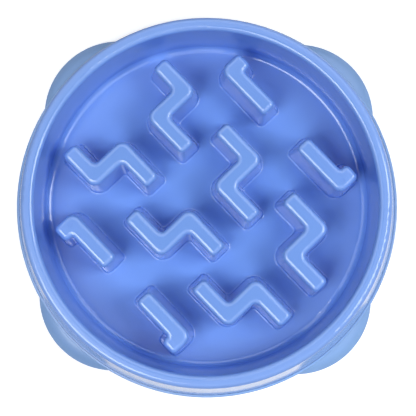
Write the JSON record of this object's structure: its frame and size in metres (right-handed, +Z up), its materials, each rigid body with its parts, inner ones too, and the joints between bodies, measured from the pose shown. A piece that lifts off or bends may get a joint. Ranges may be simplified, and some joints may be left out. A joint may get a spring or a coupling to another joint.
{
  "type": "slow feeder bowl",
  "caption": "Round slow feeder dog bowl with a maze of raised zigzag and hook ridges, a rolled lip and a lobed base ring on rubber feet.",
  "frame": {"origin": "on the table under the bowl's axis, at the level of the feet's undersides", "axes": "+Z up along the bowl's axis; +X along the rows of zigzag ridges; the foot lobes lie on the X and Y axes"},
  "size_m": [0.237, 0.237, 0.05],
  "materials": {
    "bowl_plastic": "polished moulded polypropylene, periwinkle blue",
    "ring_plastic": "satin moulded polypropylene, slightly greener blue",
    "foot_rubber": "matt grey thermoplastic rubber"
  },
  "bodies": {
    "root": {"feeder_bowl": "bowl_plastic", "base_ring": "ring_plastic", "foot_front_right": "foot_rubber", "foot_back_right": "foot_rubber", "foot_back_left": "foot_rubber", "foot_front_left": "foot_rubber"}
  },
  "joints": []
}
